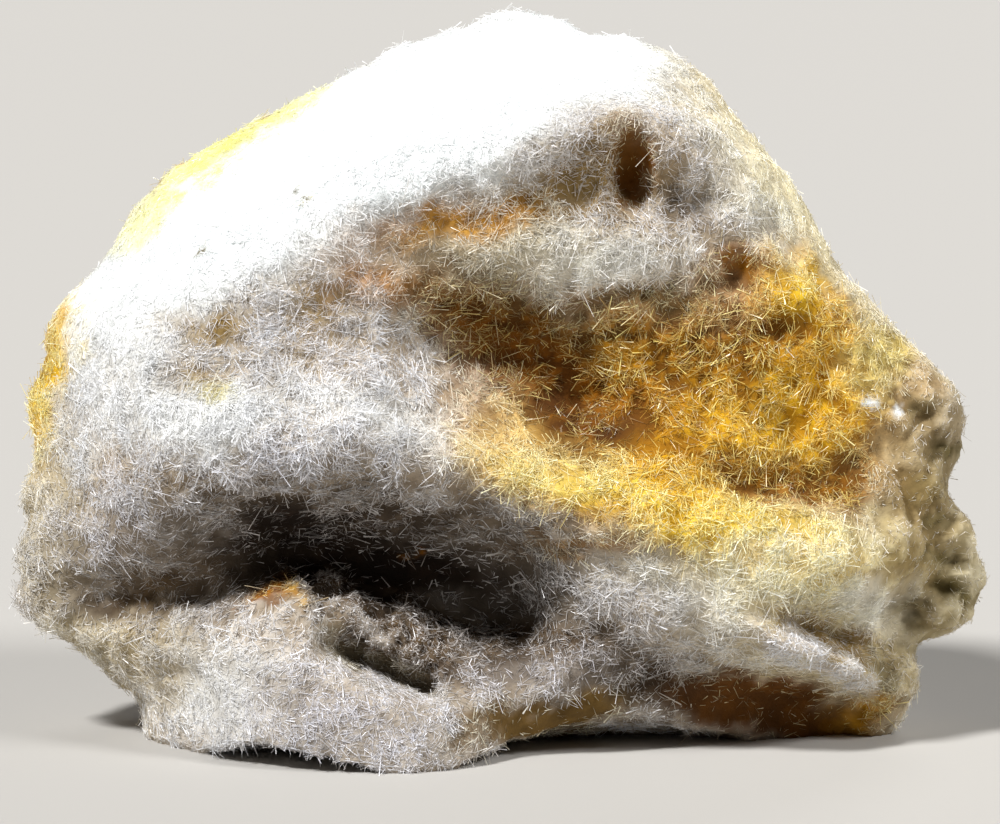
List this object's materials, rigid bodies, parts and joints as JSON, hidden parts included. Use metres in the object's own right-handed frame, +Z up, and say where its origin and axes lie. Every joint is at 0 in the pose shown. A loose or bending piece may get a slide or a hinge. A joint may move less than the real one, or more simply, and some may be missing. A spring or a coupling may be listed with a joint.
{
  "type": "bavenite specimen",
  "caption": "Free-standing hand specimen of bavenite: a felted white crust with an ochre hollow, a dark cave and a flat cut base.",
  "frame": {"origin": "on the flat cut base, near its middle", "axes": "+X to the specimen's right as its front is seen, +Y into its depth, away from the front, +Z up"},
  "size_m": [0.0438, 0.0246, 0.0322],
  "materials": {
    "matted_bavenite": "matte"
  },
  "bodies": {
    "root": {"bavenite_specimen": "matted_bavenite"}
  },
  "joints": []
}
